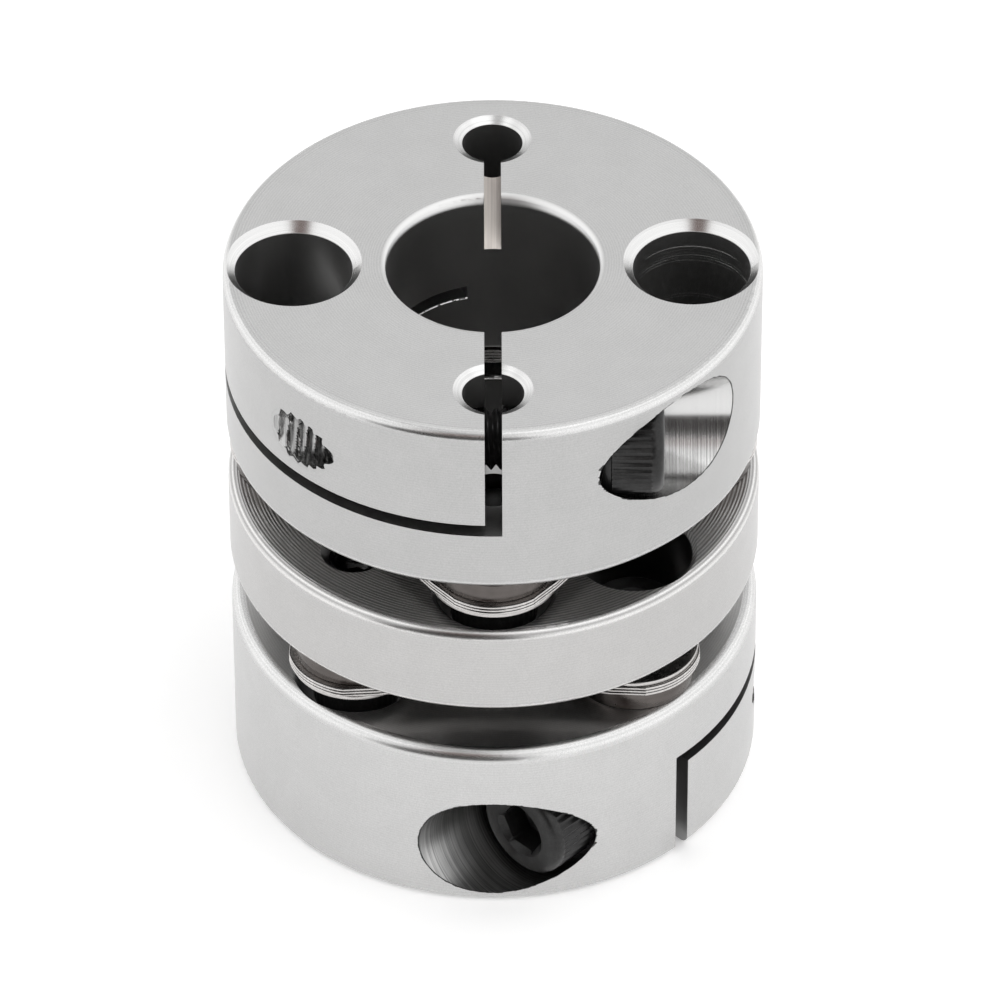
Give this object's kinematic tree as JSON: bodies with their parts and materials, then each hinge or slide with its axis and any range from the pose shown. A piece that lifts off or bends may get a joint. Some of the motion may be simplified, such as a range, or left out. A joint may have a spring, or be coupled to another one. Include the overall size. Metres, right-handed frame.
{
  "type": "disc coupling",
  "caption": "Flexible disc coupling for shafts: slit clamp hubs with cross screws either side of a round centre ring, joined by packs of thin steel leaves.",
  "frame": {"origin": "centre of the lower hub's end face, on the shaft axis", "axes": "+Z along the shaft axis to the upper hub, -Y through the upper hub's slot"},
  "size_m": [0.044, 0.0445, 0.0505],
  "materials": {
    "aluminium": "turned and milled, bare",
    "leaf_steel": "thin stainless sheet, stamped",
    "collar_steel": "turned, dull",
    "washer_steel": "flat, bright",
    "black_steel": "black oxide"
  },
  "bodies": {
    "root": {"centre_ring": "aluminium", "upper_hub": "aluminium", "upper_clamp_screw": "black_steel", "upper_leaf_1": "leaf_steel", "upper_leaf_2": "leaf_steel", "upper_leaf_3": "leaf_steel", "upper_hub_collar_1": "collar_steel", "upper_hub_washer_1": "washer_steel", "upper_hub_screw_1": "black_steel", "upper_hub_collar_2": "collar_steel", "upper_hub_washer_2": "washer_steel", "upper_hub_screw_2": "black_steel", "upper_ring_collar_1": "collar_steel", "upper_ring_washer_1": "washer_steel", "upper_ring_screw_1": "black_steel", "upper_ring_collar_2": "collar_steel", "upper_ring_washer_2": "washer_steel", "upper_ring_screw_2": "black_steel", "lower_hub": "aluminium", "lower_clamp_screw": "black_steel", "lower_leaf_1": "leaf_steel", "lower_leaf_2": "leaf_steel", "lower_leaf_3": "leaf_steel", "lower_hub_collar_1": "collar_steel", "lower_hub_washer_1": "washer_steel", "lower_hub_screw_1": "black_steel", "lower_hub_collar_2": "collar_steel", "lower_hub_washer_2": "washer_steel", "lower_hub_screw_2": "black_steel", "lower_ring_collar_1": "collar_steel", "lower_ring_washer_1": "washer_steel", "lower_ring_screw_1": "black_steel", "lower_ring_collar_2": "collar_steel", "lower_ring_washer_2": "washer_steel", "lower_ring_screw_2": "black_steel"}
  },
  "joints": []
}
